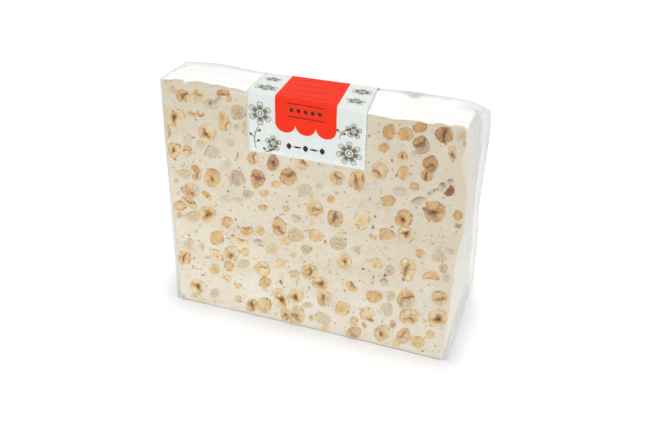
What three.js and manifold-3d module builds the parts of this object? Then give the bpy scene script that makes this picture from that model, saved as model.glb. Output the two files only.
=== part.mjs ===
// A slab of crumbly hazelnut nougat, shrunk into clear film, with a paper label folded over its top.
// Millimetres, +Z up. The sawn front faces -Y, and the pack stands on its narrow foot at Z = 0.
import * as THREE from "three";
import { mergeVertices } from "three/addons/utils/BufferGeometryUtils.js";
import Module from "manifold-3d";

const wasm = await Module();
wasm.setup();

// The wrapped slab before it settles: an upright box with rounded edges.
const WIDTH = 201;
const DEPTH = 92;
const HEIGHT = 176;
const EDGE_RADIUS = 2.5;

// How the cut slab departs from that box.
const FRONT_LEAN = 14; // the front leans back by this much at the top
const BACK_LEAN = 25; // the back leans forward by this much at the top
const TOP_DROP = 16.4; // the top falls by this much from front to back, at its middle
const TOP_TILT = 2.7; // the top front edge rises by this much from left to right
const BACK_TILT = 3; // and the top back edge by this much more
const TOP_WIDER = 1; // the top is wider than the foot by this much
const TOP_RIGHT = 1; // the top stands this much to the right of the foot
const BACK_LEFT = 8.5; // the back of the top stands this much to the left of its front
const FOOT_FORWARD = 3.2; // the foot of the front comes forward by this much at its right end
const FOOT_CENTRE_X = 2.21; // the foot's middle, so that the pack reaches as far left as right
const FOOT_CENTRE_Y = 1.62; // and as far forward as back

// The film's loose ends.
const EAR = 9.5; // how far the film stands off the slab at the top of its right end
const EAR_FROM = 0.3; // share of the height where that ear starts
const PLEAT = 0.7; // depth of the folds down both ends
const PLEATS = 4; // folds between front and back
const SEAM_HEIGHT = 62; // middle of the lap seam across the back
const SEAM_WIDTH = 12;
const SEAM_RISE = 0.8;
const SEAM_MARGIN = 8; // the seam stops this far from both ends
const ROOT = 1.2; // how deep the seam and the nuts start below the face that they stand on

// The paper label, a saddle over the top.
const LABEL_WIDTH = 77.5;
const LABEL_X = -2;
const LABEL_FLAP = 41; // how far it hangs down the front and the back
const LABEL_THICK = 0.4;
const LABEL_GAP = 0.35; // clear of the film

// Hazelnuts that stand a little proud of the sawn faces.
const NUT_SIDES = 8;
const NUT_RISE = 0.6;
const NUT_CROWN = 0.25; // the middle of a nut stands this much higher than its rim
const NUT_RIM = 0.8; // the raised rim's radius as a share of the nut's
const NUT_SPACE = 1.6; // least space between two nuts
const NUT_BORDER = 5; // least space between a nut and the face's edge
const NUT_CLEARANCE = 1; // least space between a nut and the label or the seam
const NUT_SIZES = [
  { radius: [5.2, 6.6], count: 40 },
  { radius: [3.6, 5.0], count: 24 },
  { radius: [2.2, 3.2], count: 8 },
];
const NUT_TRIES = 400; // places tried for each nut
const FRONT_SEED = 11;
const BACK_SEED = 29;

const GRID = { x: 4, y: 10, z: 8 }; // cells along each side, between the rounded edges

const clamp = THREE.MathUtils.clamp;
const lerp = THREE.MathUtils.lerp;
const smooth = THREE.MathUtils.smoothstep;

// A repeatable source of numbers from 0 to 1.
function seededRandom(seed) {
  let state = seed;
  return () => {
    state = (state * 1664525 + 1013904223) % 4294967296;
    return state / 4294967296;
  };
}

// Moves a point of the upright box to its place on the slab. What stands off the box keeps its distance.
function settle(point) {
  const y = clamp(point.y, -DEPTH / 2, DEPTH / 2);
  const z = clamp(point.z, 0, HEIGHT);
  const up = z / HEIGHT;
  const back = y / DEPTH + 0.5;
  const across = point.x / WIDTH;
  const forward = FOOT_FORWARD * clamp(across + 0.5, 0, 1) ** 2 * (1 - up);
  const front = -DEPTH / 2 + FRONT_LEAN * up - forward;
  const rear = DEPTH / 2 - BACK_LEAN * up;
  return point.set(
    FOOT_CENTRE_X + point.x + TOP_WIDER * up * across + TOP_RIGHT * up - BACK_LEFT * up * back,
    FOOT_CENTRE_Y + lerp(front, rear, back) + point.y - y,
    up * (HEIGHT + TOP_TILT * across - (TOP_DROP - BACK_TILT * across) * back) + point.z - z,
  );
}

// The film's loose ear and its pleats, as a move along X of a point on either end of the box.
function looseFilm(point) {
  const end = Math.sign(point.x) * smooth(Math.abs(point.x), WIDTH / 2 - 3 * EDGE_RADIUS, WIDTH / 2);
  const up = point.z / HEIGHT;
  const back = point.y / DEPTH + 0.5;
  const ear = EAR * smooth(up, EAR_FROM, 1) * smooth(back, 0, 1);
  const pleat = PLEAT * Math.sin(PLEATS * Math.PI * 2 * back + 2 * up) * Math.sin(Math.PI * back);
  return Math.max(end, 0) * ear + end * pleat * Math.sin(Math.PI * up);
}

function movePoints(geometry, move) {
  const places = geometry.getAttribute("position");
  const point = new THREE.Vector3();
  for (let i = 0; i < places.count; i++) {
    move(point.fromBufferAttribute(places, i));
    places.setXYZ(i, point.x, point.y, point.z);
  }
  return geometry;
}

// A closed geometry as a solid for joining.
function solidOf(geometry) {
  const bare = new THREE.BufferGeometry().setIndex(geometry.index);
  bare.setAttribute("position", geometry.getAttribute("position"));
  const merged = mergeVertices(bare, 1e-4);
  const vertProperties = new Float32Array(merged.getAttribute("position").array);
  const triVerts = new Uint32Array(merged.index.array);
  return new wasm.Manifold(new wasm.Mesh({ numProp: 3, vertProperties, triVerts }));
}

function geometryOf(solid) {
  const mesh = solid.getMesh();
  const geometry = new THREE.BufferGeometry();
  geometry.setAttribute("position", new THREE.BufferAttribute(mesh.vertProperties, 3));
  geometry.setIndex(new THREE.BufferAttribute(mesh.triVerts, 1));
  geometry.computeVertexNormals();
  return geometry;
}

// Grid lines along one side: three in each rounded edge, for even steps of its arc, and even cells between.
function gridLines(half, cells) {
  const flat = half - EDGE_RADIUS;
  const arc = flat + EDGE_RADIUS * Math.tan(Math.PI / 8);
  const middle = Array.from({ length: cells + 1 }, (_, i) => lerp(-flat, flat, i / cells));
  return [-half, -arc, ...middle, arc, half];
}

// The rounded box, standing on Z = 0.
function roundedBox() {
  const half = new THREE.Vector3(WIDTH, DEPTH, HEIGHT).multiplyScalar(0.5);
  const flat = half.clone().subScalar(EDGE_RADIUS);
  const lines = {};
  for (const axis of ["x", "y", "z"]) lines[axis] = gridLines(half[axis], GRID[axis]);
  const steps = [lines.x.length - 1, lines.y.length - 1, lines.z.length - 1];
  const inner = new THREE.Vector3();
  return movePoints(new THREE.BoxGeometry(2, 2, 2, ...steps), (point) => {
    for (const axis of ["x", "y", "z"]) {
      const line = Math.round(((point[axis] + 1) / 2) * (lines[axis].length - 1));
      point[axis] = lines[axis][line];
    }
    inner.copy(point).clamp(flat.clone().negate(), flat);
    point.sub(inner).setLength(EDGE_RADIUS).add(inner);
    point.z += HEIGHT / 2;
  });
}

function wrappedBox() {
  return movePoints(roundedBox(), (point) => {
    const loose = looseFilm(point);
    settle(point).x += loose;
  });
}

// The film's lap seam, a flat strip across the back.
function lapSeam() {
  const strip = new THREE.BoxGeometry(WIDTH - 2 * SEAM_MARGIN, SEAM_RISE + ROOT, SEAM_WIDTH);
  strip.translate(0, (DEPTH + SEAM_RISE - ROOT) / 2, SEAM_HEIGHT);
  return movePoints(strip, settle);
}

// True where a nut of this radius stays clear of the label and the seam.
function isFree(x, z, radius, side) {
  const reach = radius + NUT_CLEARANCE;
  const besideLabel = Math.abs(x - LABEL_X) > LABEL_WIDTH / 2 + reach;
  const belowLabel = z < HEIGHT - LABEL_FLAP - reach;
  const offSeam = Math.abs(z - SEAM_HEIGHT) > SEAM_WIDTH / 2 + reach;
  return (besideLabel || belowLabel) && (side < 0 || offSeam);
}

// Places for the nuts of one face, the largest first: [{ x, z, radius }].
function scatterNuts(seed, side) {
  const random = seededRandom(seed);
  const nuts = [];
  for (const size of NUT_SIZES) {
    for (let n = 0; n < size.count; n++) {
      const radius = lerp(...size.radius, random());
      const reach = NUT_BORDER + radius;
      for (let attempt = 0; attempt < NUT_TRIES; attempt++) {
        const x = lerp(-WIDTH / 2 + reach, WIDTH / 2 - reach, random());
        const z = lerp(reach, HEIGHT - reach, random());
        const clear = nuts.every((o) => Math.hypot(o.x - x, o.z - z) > o.radius + radius + NUT_SPACE);
        if (clear && isFree(x, z, radius, side)) {
          nuts.push({ x, z, radius });
          break;
        }
      }
    }
  }
  return nuts;
}

// One nut: a low crown on the front (side -1) or the back (side 1), rooted in the slab.
function nutCrown({ x, z, radius }, side) {
  const tall = NUT_RISE + ROOT;
  const crown = new THREE.CylinderGeometry(radius * NUT_RIM, radius, tall, NUT_SIDES);
  movePoints(crown, (point) => {
    const isMiddle = point.y > 0 && Math.hypot(point.x, point.z) < radius / 2;
    point.y += tall / 2 + (isMiddle ? NUT_CROWN : 0) - ROOT;
  });
  if (side < 0) crown.rotateX(Math.PI);
  return movePoints(crown.translate(x, (side * DEPTH) / 2, z), settle);
}

function wrappedSlab() {
  let solid = solidOf(wrappedBox()).add(solidOf(lapSeam()));
  for (const [seed, side] of [[FRONT_SEED, -1], [BACK_SEED, 1]]) {
    for (const nut of scatterNuts(seed, side)) solid = solid.add(solidOf(nutCrown(nut, side)));
  }
  const nougat = new THREE.MeshStandardMaterial({ color: 0xe6dcc6, roughness: 0.35, metalness: 0 });
  return new THREE.Mesh(geometryOf(solid), nougat);
}

// The label's section, in the plane of depth and height: up the front, over the top, down the back.
function labelSection() {
  const half = DEPTH / 2 - EDGE_RADIUS;
  const low = HEIGHT - LABEL_FLAP;
  const high = HEIGHT - EDGE_RADIUS;
  const inside = EDGE_RADIUS + LABEL_GAP;
  const outside = inside + LABEL_THICK;
  const section = new THREE.Shape();
  section.moveTo(-half - outside, low);
  section.absarc(-half, high, outside, Math.PI, Math.PI / 2, true);
  section.absarc(half, high, outside, Math.PI / 2, 0, true);
  section.lineTo(half + outside, low);
  section.lineTo(half + inside, low);
  section.absarc(half, high, inside, 0, Math.PI / 2, false);
  section.absarc(-half, high, inside, Math.PI / 2, Math.PI, false);
  section.lineTo(-half - inside, low);
  return section;
}

function paperLabel() {
  const saddle = new THREE.ExtrudeGeometry(labelSection(), {
    depth: LABEL_WIDTH,
    bevelEnabled: false,
    curveSegments: 5,
  });
  // The section's own axes, depth and height, turn to Y and Z, and the extrusion runs along X.
  saddle.applyMatrix4(new THREE.Matrix4().set(0, 0, 1, 0, 1, 0, 0, 0, 0, 1, 0, 0, 0, 0, 0, 1));
  saddle.translate(LABEL_X - LABEL_WIDTH / 2, 0, 0);
  const paper = new THREE.MeshStandardMaterial({ color: 0xe5eae6, roughness: 0.7, metalness: 0 });
  return new THREE.Mesh(movePoints(saddle, settle), paper);
}

const pack = new THREE.Group();
const slab = wrappedSlab();
slab.name = "wrapped_slab";
const label = paperLabel();
label.name = "label";
pack.add(slab, label);

export default pack;
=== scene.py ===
"""A slab of crumbly hazelnut nougat in clear film, with a paper label folded over its top.

Shapes are worked out in millimetres and turned to metres where a mesh is made. The slab is first an upright
box, and settle() then gives it the lean, the narrower top and the skew that the frame's solids have.
"""
import itertools
import math
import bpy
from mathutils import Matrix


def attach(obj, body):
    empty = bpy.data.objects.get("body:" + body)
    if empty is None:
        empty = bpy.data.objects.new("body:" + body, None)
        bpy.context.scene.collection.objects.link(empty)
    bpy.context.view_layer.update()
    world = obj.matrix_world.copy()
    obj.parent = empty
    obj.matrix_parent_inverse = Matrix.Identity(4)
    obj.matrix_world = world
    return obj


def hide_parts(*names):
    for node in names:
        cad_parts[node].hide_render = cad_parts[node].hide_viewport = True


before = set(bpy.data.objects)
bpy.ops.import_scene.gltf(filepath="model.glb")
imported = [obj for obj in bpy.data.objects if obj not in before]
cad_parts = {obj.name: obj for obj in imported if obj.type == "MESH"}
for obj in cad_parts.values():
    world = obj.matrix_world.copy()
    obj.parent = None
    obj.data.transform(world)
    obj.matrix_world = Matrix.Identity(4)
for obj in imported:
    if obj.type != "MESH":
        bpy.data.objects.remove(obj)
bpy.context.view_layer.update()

from types import SimpleNamespace

import bpy
import numpy as np
from mathutils import Matrix

MM = 0.001

# The wrapped slab, with the same values as the frame's solids.
WIDTH, DEPTH, HEIGHT = 201.0, 92.0, 176.0
FILM_RADIUS = 2.5
FRONT_LEAN, BACK_LEAN = 14.0, 25.0
TOP_DROP, TOP_TILT, BACK_TILT = 16.4, 2.7, 3.0
TOP_WIDER, TOP_RIGHT, BACK_LEFT = 1.0, 1.0, 8.5
FOOT_FORWARD, FOOT_CENTRE_X, FOOT_CENTRE_Y = 3.2, 2.21, 1.62
EAR, EAR_FROM = 9.5, 0.3
PLEAT, PLEATS = 0.7, 4
SEAM_HEIGHT, SEAM_WIDTH, SEAM_RISE, SEAM_MARGIN = 62.0, 12.0, 0.8, 8.0
LABEL_WIDTH, LABEL_X, LABEL_FLAP = 77.5, -2.0, 41.0

# Where the slab is not quite straight: millimetres out, the middle of that place, and its reach.
RIGHT_SWELL = (4.0, 116.0, 32.0)  # up the right end of the front
LEFT_SWELL = (2.0, 128.0, 40.0)  # up the left end of the nougat
TOP_RISE = (2.4, -72.0, 32.0)  # along the front of the top
TOP_DIP = (-2.3, 52.0, 30.0)
LEFT_STAND = (2.2, -75.0, 22.0)  # where the film stands up along the top of the back
RIGHT_STAND = (0.8, 65.0, 22.0)
END_REACH = 25.0  # a swell of either end fades out this far from it
FOOT_IN, FOOT_IN_SHARE = 3.4, 0.3  # the right end's foot goes in at the back, up to this share of the height

# The film.
FOOT_RADIUS, FOOT_CORNER = 1.0, 1.5  # sharper at the foot, but rounder by this much at its right front corner
FILM_CELLS = (2.0, 1.5, 2.0)
SEAM_EDGE = 0.93  # the lap seam's rise starts at this share of its half width
EAR_REACH, EAR_DROOP = 16.0, 4.6
FOLD_RELIEF, CREASE_RELIEF = 0.05, 0.35  # of the folds down the ends, and of the creases on top
CRINKLE_X, CRINKLE_Y = 0.9, 0.8  # how far the loose ear crinkles
TONGUE_X, TONGUE_HALF, TONGUE_FROM = 61.0, 10.0, 0.75  # a tongue of doubled film on top, towards the back

# The nougat, and how far the film stands off it.
END_GAP, FRONT_GAP, BACK_GAP, TOP_GAP, FOOT_GAP = 2.3, 0.4, 2.0, 0.4, 0.2
FOOT_SLACK = 8.0  # the film stands this much further off the back at the foot
NOUGAT_EAR = 6.5  # how far the right end follows the ear of film
NOUGAT_DROOP = 2.8  # how far the top falls below the ear
NOUGAT_IN, NOUGAT_IN_SHARE = 2.4, 0.12  # the right front corner stands in at the foot, up to this share
BROKEN_AT, BROKEN_DEPTH = 149.0, 2.8  # height and depth of the break in the right front edge
BED_DEPTH = 3.5  # depth of the hollow under a nut or an air hole that has one
PIT_COUNT, PIT_DEPTH = 170, 0.7  # small air holes on each sawn face
HOLE_FLANGE = 1.3  # a large air hole is made with a flange this much wider
CRUMB_COUNT, CRUMB_SIDES, CRUMB_SLIM = 800, 7, 0.6  # crumbs on each sawn face, their sides, and their width
WALL_RELIEF, LID_RELIEF = 0.35, 0.4  # how uneven the ends and the top are
NOUGAT_CELL, NOUGAT_SIDE_CELL, NOUGAT_RADIUS = 1.1, 2.0, 2.0

# The camera, fitted to the slab's corners in the photograph.
PHOTO_SIZE = np.array([650.0, 433.0])
EYE = np.array([204.9, -560.2, 525.0])
YAW, PITCH, ROLL = np.radians([-20.04, 37.66, 1.48])
FOCAL_PIXELS = 1090.0
SENSOR_MM = 36.0

# Cut hazelnuts on the front, read off the photograph: column, row, width and height in its pixels, the
# turn of the width in degrees, clockwise, and the tone, from 0 for pale to 1 for dark brown. An arc's turn is
# the way its back faces, clockwise from up.
KERNELS = {
    "cleft": (
        (183, 95.5, 16, 12, 25, 0.35), (197.5, 95, 13, 11, 30, 0.2), (225, 125, 13, 12, 30, 0.3),
        (187, 151, 10, 10, 0, 0.35), (253, 158, 11, 12, 0, 0.35), (197, 175, 8, 13, 10, 0.4),
        (257.5, 178.5, 14, 18, -15, 0.6), (190.5, 191, 17, 15, 35, 0.4), (189, 202.5, 19, 8, 35, 0.4),
        (288, 176.5, 17, 17, 0, 0.6), (337, 178, 15, 14, 0, 0.45), (357, 180.5, 16, 20, 0, 0.35),
        (279, 226.5, 15, 17, -20, 0.5), (335, 218.5, 15, 18, 0, 0.45), (379.5, 170.5, 17, 18, 0, 0.35),
        (430.5, 164, 16, 17, 0, 0.6), (427, 175.5, 12, 12, 0, 0.45), (421.5, 145, 16, 19, -20, 0.5),
        (444.5, 134.5, 18, 19, 0, 0.6), (453, 153.5, 9, 17, -12, 0.4), (252.5, 305.5, 13, 12, 0, 0.4),
        (309.5, 272, 17, 15, 30, 0.4), (324, 298.5, 15, 16, 0, 0.35), (353.5, 333, 15, 13, 0, 0.4),
        (407.5, 269, 17, 21, 0, 0.2), (406, 299.5, 18, 19, 0, 0.45), (439.5, 298, 16, 14, 30, 0.3),
        (409, 317, 20, 16, 10, 0.3), (403.5, 336, 14, 14, 0, 0.4), (315, 209, 17, 17, 0, 0.3),
        (184.5, 258, 13, 14, 0, 0.4), (262.5, 269, 14, 15, 0, 0.3),
    ),
    "hollow": (
        (175, 117, 19, 20, -10, 0.3), (207, 133, 18, 17, 20, 0.4), (174, 150, 14, 15, 0, 0.4),
        (212, 178, 16, 19, 0, 0.6), (208, 214, 16, 16, 0, 0.45), (231, 254.5, 17, 16, 0, 0.35),
        (273, 163, 12, 15, 0, 0.75), (303, 162, 17, 14, 0, 0.35), (434.5, 211.5, 23, 20, 10, 0.55),
        (404, 218.5, 18, 18, 0, 0.55), (406, 234.5, 18, 15, 0, 0.3), (344.5, 261.5, 15, 15, 0, 0.45),
        (320, 284, 16, 14, 0, 0.4), (281.5, 300.5, 16, 14, 0, 0.4), (296, 296, 15, 15, 0, 0.35),
        (285.5, 314, 10, 12, 0, 0.45), (297, 315.5, 15, 18, 0, 0.4), (437.5, 318.5, 19, 18, 0, 0.35),
        (382, 333, 16, 16, 0, 0.45), (402.5, 156.5, 9, 10, 0, 0.5), (197.5, 286.5, 15, 14, 0, 0.3),
    ),
    "solid": (
        (222, 116, 9, 10, 0, 0.35), (166.5, 131.5, 8, 15, 0, 0.5), (389, 132, 13, 15, 0, 0.5),
        (406, 134, 15, 13, 10, 0.45), (420, 127.5, 16, 10, -10, 0.5), (383.5, 148, 12, 9, 0, 0.4),
        (404, 173, 13, 14, 0, 0.3), (388.5, 201, 14, 12, 10, 0.45), (458, 215.5, 9, 11, 0, 0.5),
        (179.5, 206, 13, 10, 20, 0.45), (260, 230, 8, 10, -20, 0.25), (217, 238, 14, 14, 0, 0.5),
        (245, 252, 8, 9, 0, 0.35), (216.5, 255, 14, 10, 35, 0.3), (214.5, 269, 11, 10, 0, 0.3),
        (229, 265.5, 10, 11, 0, 0.5), (265, 282.5, 12, 12, 0, 0.45), (264.5, 305.5, 14, 16, 0, 0.35),
        (331, 199.5, 8, 8, 0, 0.35), (362, 220.5, 19, 15, 15, 0.15), (286.5, 208.5, 7, 6, 0, 0.3),
        (315.5, 235.5, 15, 12, 35, 0.3), (286, 240.5, 10, 9, 0, 0.35), (280, 263.5, 10, 9, 0, 0.2),
        (420, 253.5, 10, 8, 20, 0.35), (376.5, 263.5, 14, 10, 10, 0.3), (342.5, 308.5, 15, 14, 0, 0.35),
        (354, 321, 9, 9, 0, 0.35), (367, 313.5, 15, 13, 0, 0.25), (374, 296.5, 17, 12, 15, 0.45),
        (396, 342.5, 8, 9, 20, 0.2), (417.5, 342, 14, 12, 0, 0.35), (430, 334.5, 9, 8, 20, 0.3),
        (227, 222, 10, 11, 0, 0.5), (387, 234, 16, 12, 15, 0.45), (276, 184, 9, 7, 20, 0.3),
        (265, 193.5, 9, 7, -30, 0.35), (263, 207.5, 9, 6, 20, 0.4),
    ),
    "veiled": (
        (173, 90, 9, 8, 0, 0.5), (238, 112.5, 17, 14, 20, 0.7), (188, 139.5, 8, 12, 0, 0.25),
        (212, 152.5, 14, 13, 0, 0.45), (231, 143, 8, 7, -30, 0.35), (201, 144, 9, 8, 0, 0.3),
        (185, 173.5, 12, 10, 0, 0.35), (237, 178, 17, 15, 10, 0.8), (248, 194, 10, 8, 10, 0.6),
        (193.5, 216, 13, 11, 0, 0.5), (243.5, 264, 12, 9, 0, 0.4), (305, 190, 13, 12, 0, 0.4),
        (319.5, 186, 7, 6, 0, 0.5), (296, 235, 16, 13, 10, 0.45), (338, 243, 15, 15, 0, 0.5),
        (272, 249, 12, 11, 0, 0.25), (306.5, 249, 11, 9, 10, 0.55), (294.5, 274, 10, 7, 0, 0.4),
        (307, 305, 10, 6, 0, 0.4), (322.5, 318.5, 16, 11, 15, 0.25), (390.5, 296, 10, 9, 0, 0.45),
        (387, 309, 11, 13, 0, 0.4), (393, 324.5, 7, 8, 0, 0.6), (389.5, 270.5, 10, 11, 0, 0.5),
        (439, 256, 12, 13, 0, 0.5), (461, 136, 10, 13, 0, 0.4), (446.5, 277.5, 8, 8, 0, 0.3),
        (443.5, 268.5, 9, 9, 0, 0.5), (357, 249.5, 7, 6, 0, 0.5), (238.5, 299, 7, 7, 0, 0.3),
        (189, 244, 9, 12, 10, 0.3), (215, 293, 9, 9, 0, 0.25),
    ),
    "arc": (
        (223.5, 92, 18, 10, 0, 0.6), (196, 169, 13, 9, 45, 0.6), (207, 195, 15, 8, 40, 0.4),
        (247, 231, 16, 12, 180, 0.45), (242, 242, 16, 9, 195, 0.25), (450, 191, 16, 13, 130, 0.85),
        (431, 275.5, 21, 12, 5, 0.35), (277, 291.5, 14, 9, -10, 0.2), (351, 287, 17, 12, 225, 0.35),
        (228, 278, 11, 8, 35, 0.2),
    ),
    "chip": (
        (190, 112.5, 4, 4, 0, 0.4), (193.5, 115, 5, 5, 30, 0.45), (197.5, 113, 4, 5, 0, 0.5),
        (200.5, 115.5, 5, 4, 20, 0.6), (203.5, 113.5, 4, 4, 0, 0.4), (229, 98, 7, 9, 0, 0.4),
        (244, 127, 4, 13, 5, 0.35), (176.5, 181, 5, 3, 20, 0.35), (179.5, 216, 5, 8, 0, 0.35),
        (202.5, 246.5, 4, 8, -15, 0.35), (238, 200, 13, 5, 5, 0.15), (337, 193, 6, 4, 30, 0.3),
        (312, 196, 4, 6, 10, 0.3), (312.5, 224, 5, 4, 0, 0.3), (342, 233, 7, 4, 0, 0.3),
        (371, 236, 4, 4, 0, 0.3), (375, 237.5, 4, 4, 0, 0.4), (415, 186, 10, 9, 25, 0.45),
        (311.5, 317.5, 5, 7, 0, 0.35), (325, 327.5, 10, 7, 20, 0.15), (364, 325, 7, 4, 45, 0.4),
        (237.5, 285.5, 10, 5, 15, 0.3), (425, 321.5, 3.5, 3.5, 0, 0.35), (392.5, 331.5, 3.5, 2.5, 0, 0.1),
        (440, 237, 6, 4, 20, 0.1), (168.5, 81.5, 7, 6, 0, 0.25), (294, 255, 5, 5, 0, 0.3),
        (183.5, 296, 3.5, 3, 0, 0.45), (202.5, 300.5, 4, 3, 0, 0.1), (196, 296, 10, 6, 15, 0.2),
        (233, 177, 4, 11, 0, 0.6), (464.5, 144, 5, 4, -40, 0.45),
    ),
}
BEDDED = ("cleft", "hollow")  # kinds that are deep enough to need a bed in the nougat
# Air holes in the cut face, read off the same way. The last value is how dark they look, from 0 to 1: the
# painted shade in them.
PITS = (
    (211, 103, 13, 8, 10, 0.45), (219, 97.5, 5, 3, 0, 0.45), (236, 126.5, 6, 4.5, 0, 0.65),
    (296, 218, 11, 6.5, 20, 0.55), (418, 200.5, 17, 7, -17, 0.75), (400, 191, 15, 9, 10, 0.4),
    (442, 186, 6, 8, 20, 1.0), (449.5, 181, 5, 4.5, 0, 0.95), (438, 189, 3, 2.5, 0, 0.8),
    (434, 190, 3, 2.5, 0, 0.7), (429.5, 193, 4, 3, -20, 0.5), (384, 281.5, 8, 7, 0, 0.8),
    (415, 153, 5, 5, 0, 0.35), (458, 226, 6, 3, 10, 0.9), (456.5, 232, 2.5, 2, 0, 0.9),
    (449.5, 250.5, 8, 4.5, 20, 0.5), (257.5, 241, 8, 4, 0, 0.8), (226, 164, 10, 6, 25, 0.25),
    (226, 198.5, 8, 4, 20, 0.3), (232.5, 235.5, 3.5, 3, -20, 0.7), (424, 208.5, 3, 2.5, 0, 0.9),
)


def smooth(value, low, high):
    """0 on low's side, 1 on high's side, and an even rise between them."""
    share = np.clip((value - low) / (high - low), 0.0, 1.0)
    return share * share * (3 - 2 * share)


def bump(value, centre, reach):
    """1 at the centre, and nearly 0 at twice the reach from it."""
    return np.exp(-((value - centre) / reach) ** 2)


def hump(value, form):
    """A rounded rise, from its height, its middle and its reach."""
    high, middle, reach = form
    return high * bump(value, middle, reach)


def turned(x, y, angle):
    """Coordinates along a line at this angle, and aside of it."""
    c, s = math.cos(angle), math.sin(angle)
    return x * c + y * s, y * c - x * s


def noise(points, size, seed=0):
    """Smooth noise from -1 to 1, with lumps about this many millimetres across."""
    place = points / size
    cell = np.floor(place).astype(np.int64)
    share = place - cell
    share = share * share * (3 - 2 * share)
    total = np.zeros(len(points))
    for corner in itertools.product((0, 1), repeat=3):
        x, y, z = (cell + corner).T
        mixed = (x * 73856093) ^ (y * 19349663) ^ (z * 83492791) ^ (seed * 40503 + 977)
        mixed = (mixed * 1103515245 + 12345) & 0x7FFFFFFF
        mixed = ((mixed ^ (mixed >> 13)) * 1274126177) & 0x7FFFFFFF
        weight = np.prod(np.where(np.array(corner) == 1, share, 1 - share), axis=1)
        total += weight * (mixed / 0x3FFFFFFF - 1)
    return total


def foot_forward(x, up):
    """How far the foot of the front comes forward: most at its right end, and nothing at the top."""
    return FOOT_FORWARD * np.clip(x / WIDTH + 0.5, 0, 1) ** 2 * (1 - up)


def settle(points):
    """Moves points of the upright box to the slab. What stands off the box keeps its distance."""
    x, y, z = points.T
    inside_y = np.clip(y, -DEPTH / 2, DEPTH / 2)
    inside_z = np.clip(z, 0, HEIGHT)
    up = inside_z / HEIGHT
    back = inside_y / DEPTH + 0.5
    across = x / WIDTH
    front = -DEPTH / 2 + FRONT_LEAN * up - foot_forward(x, up)
    rear = DEPTH / 2 - BACK_LEAN * up
    drop = TOP_DROP - BACK_TILT * across
    swell = hump(z, RIGHT_SWELL) * smooth(x, WIDTH / 2 - END_REACH, WIDTH / 2)
    rise = (hump(x, TOP_RISE) + hump(x, TOP_DIP)) * smooth(up, 0.8, 1)
    pinch = FOOT_IN * smooth(across, 0.25, 0.5) * smooth(up, FOOT_IN_SHARE, 0.0)
    aside = TOP_WIDER * up * across + TOP_RIGHT * up - (BACK_LEFT * up + pinch) * back
    return np.stack([
        FOOT_CENTRE_X + x + aside + swell * (1 - back),
        FOOT_CENTRE_Y + front + (rear - front) * back + y - inside_y,
        up * (HEIGHT + TOP_TILT * across - drop * back) + z - inside_z + rise * (1 - back),
    ], axis=1)


# Meshes on a grid.
def box_shell(xs, ys, zs):
    """Points and four-cornered faces of a box on these grid lines, with shared corners."""
    shape = (len(xs), len(ys), len(zs))
    i, j, k = np.indices(shape)
    outer = np.zeros(shape, bool)
    for index, count in zip((i, j, k), shape):
        outer |= (index == 0) | (index == count - 1)
    grid = np.full(shape, -1)
    grid[outer] = np.arange(outer.sum())
    points = np.stack([xs[i[outer]], ys[j[outer]], zs[k[outer]]], axis=1)

    def faces(side, reverse):
        quads = np.stack([side[:-1, :-1], side[1:, :-1], side[1:, 1:], side[:-1, 1:]], axis=-1).reshape(-1, 4)
        return quads[:, ::-1] if reverse else quads

    sides = [
        faces(grid[0], True), faces(grid[-1], False),
        faces(grid[:, 0], False), faces(grid[:, -1], True),
        faces(grid[:, :, 0], True), faces(grid[:, :, -1], False),
    ]
    return points, np.concatenate(sides)


def edge_lines(low, high, cell, radius):
    """Grid lines about a cell apart, and closer together within a rounded edge."""
    arc = radius * np.array([0.0, 0.2, 0.45, 0.75])
    cells = max(2, round((high - low - 2 * radius) / cell))
    middle = np.linspace(low + radius, high - radius, cells + 1)
    return np.concatenate([low + arc, middle, (high - arc)[::-1]])


def round_edges(points, low, high, radius):
    """Rounds the edges of a box whose corners are low and high. The radius may differ from point to point."""
    radius = np.broadcast_to(radius, len(points))[:, None]
    inner = np.clip(points, low + radius, high - radius)
    out = points - inner
    length = np.linalg.norm(out, axis=1, keepdims=True)
    return inner + out / np.maximum(length, 1e-9) * radius


def grid_faces(rows, wide):
    """Four-cornered faces between rows of this many points."""
    starts = [n * wide + m for n in range(rows - 1) for m in range(wide - 1)]
    return [(a, a + 1, a + wide + 1, a + wide) for a in starts]


def ring_pairs(count, start=0):
    """Neighbours round a ring of this many points."""
    return [(start + n, start + (n + 1) % count) for n in range(count)]


def joined(parts):
    """Several meshes as one: points, faces and masks."""
    points, faces, masks, start = [], [], {}, 0
    for part_points, part_faces, part_masks in parts:
        points.append(part_points)
        faces += [tuple(start + corner for corner in face) for face in part_faces]
        for name, values in part_masks.items():
            masks.setdefault(name, []).append(values)
        start += len(part_points)
    return np.concatenate(points), faces, {name: np.concatenate(values) for name, values in masks.items()}


def make_piece(name, made, material):
    """A shaded piece that rides on the slab, from points in millimetres, faces, and masks of the points."""
    points, faces, masks = made
    mesh = bpy.data.meshes.new(name)
    mesh.from_pydata((points * MM).tolist(), [], [list(face) for face in faces])
    mesh.polygons.foreach_set("use_smooth", np.ones(len(mesh.polygons), bool))
    mesh.materials.append(material)
    for mask, values in masks.items():
        mesh.attributes.new(mask, "FLOAT", "POINT").data.foreach_set("value", values.astype(np.float32))
    mesh.update()
    piece = bpy.data.objects.new(name, mesh)
    bpy.context.scene.collection.objects.link(piece)
    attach(piece, "root")
    return piece


# The camera's axes, and the sawn faces as planes.
def camera_axes():
    """Right, down and forward of the camera, as rows."""
    forward = np.array([
        math.sin(YAW) * math.cos(PITCH), math.cos(YAW) * math.cos(PITCH), -math.sin(PITCH)])
    right = np.array([math.cos(YAW), -math.sin(YAW), 0.0])
    return np.array([*turned(right, np.cross(forward, right), ROLL), forward])


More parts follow.
